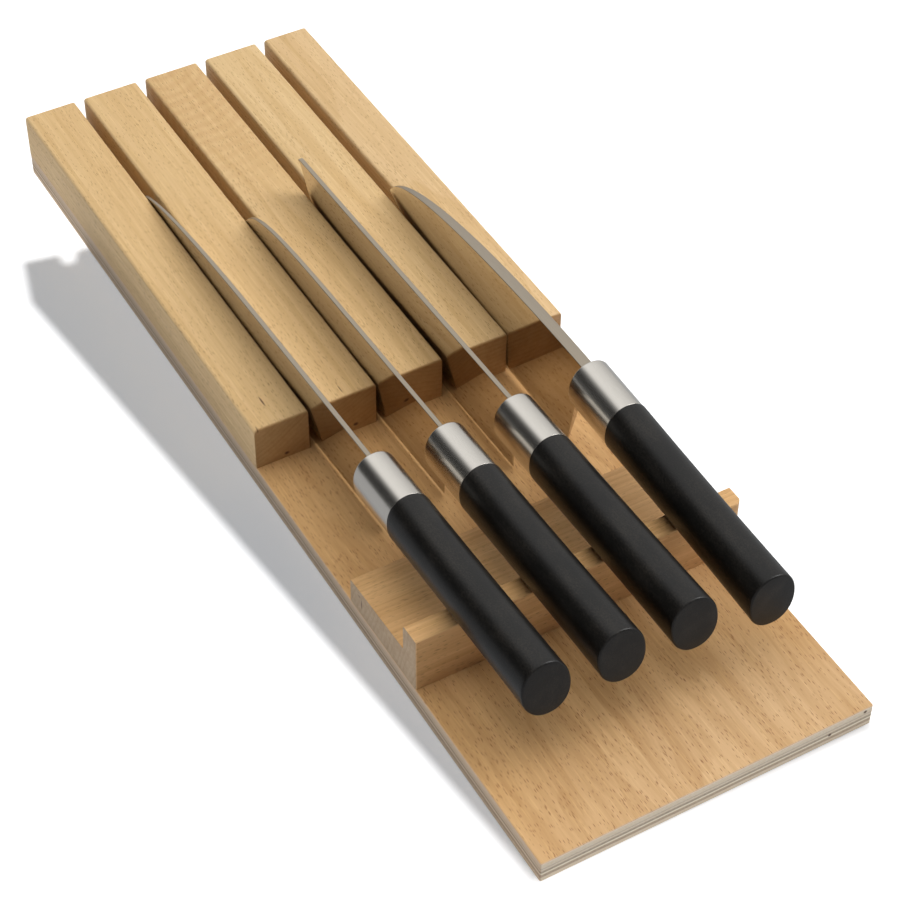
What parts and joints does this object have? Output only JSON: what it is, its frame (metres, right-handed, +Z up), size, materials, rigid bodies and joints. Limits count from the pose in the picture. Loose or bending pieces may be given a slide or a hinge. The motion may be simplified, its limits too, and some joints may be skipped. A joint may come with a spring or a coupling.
{
  "type": "drawer knife block",
  "caption": "Flat wooden knife block for a kitchen drawer: board, battens with blade slots, a stepped handle rest and steel knives with black oval grips laid in it.",
  "frame": {"origin": "middle of the board's underside, on the surface that the block lies on", "axes": "+Z up; +Y along the board, from the handles towards the blade tips; +X to the right as seen from the handles"},
  "size_m": [0.15, 0.475, 0.0664],
  "materials": {
    "plywood": "fine-sanded beech-faced plywood, matt oil",
    "beech": "fine-sanded solid beech, matt oil",
    "blade_steel": "polished faces, satin spine",
    "ferrule_steel": "brushed round the oval",
    "black_grip": "fine matt grain",
    "screw_steel": "zinc plated"
  },
  "bodies": {
    "block": {"base_board": "plywood", "batten_1": "beech", "batten_2": "beech", "batten_3": "beech", "batten_4": "beech", "batten_5": "beech", "handle_rest": "beech", "batten_screw_1": "screw_steel", "batten_screw_2": "screw_steel", "batten_screw_3": "screw_steel", "batten_screw_4": "screw_steel", "batten_screw_5": "screw_steel", "batten_screw_6": "screw_steel", "batten_screw_7": "screw_steel", "batten_screw_8": "screw_steel", "batten_screw_9": "screw_steel", "batten_screw_10": "screw_steel", "rest_screw_1": "screw_steel", "rest_screw_2": "screw_steel", "rest_screw_3": "screw_steel"},
    "knife_1": {"knife_1_blade": "blade_steel", "knife_1_ferrule": "ferrule_steel", "knife_1_handle": "black_grip"},
    "knife_2": {"knife_2_blade": "blade_steel", "knife_2_ferrule": "ferrule_steel", "knife_2_handle": "black_grip"},
    "knife_3": {"knife_3_blade": "blade_steel", "knife_3_ferrule": "ferrule_steel", "knife_3_handle": "black_grip"},
    "knife_4": {"knife_4_blade": "blade_steel", "knife_4_ferrule": "ferrule_steel", "knife_4_handle": "black_grip"}
  },
  "joints": [
    {"name": "knife_1_lift", "type": "slide", "parent": "block", "child": "knife_1", "axis": [0, 0, 1], "range_m": [0, 0.08]},
    {"name": "knife_2_lift", "type": "slide", "parent": "block", "child": "knife_2", "axis": [0, 0, 1], "range_m": [0, 0.08]},
    {"name": "knife_3_lift", "type": "slide", "parent": "block", "child": "knife_3", "axis": [0, 0, 1], "range_m": [0, 0.08]},
    {"name": "knife_4_lift", "type": "slide", "parent": "block", "child": "knife_4", "axis": [0, 0, 1], "range_m": [0, 0.08]}
  ]
}
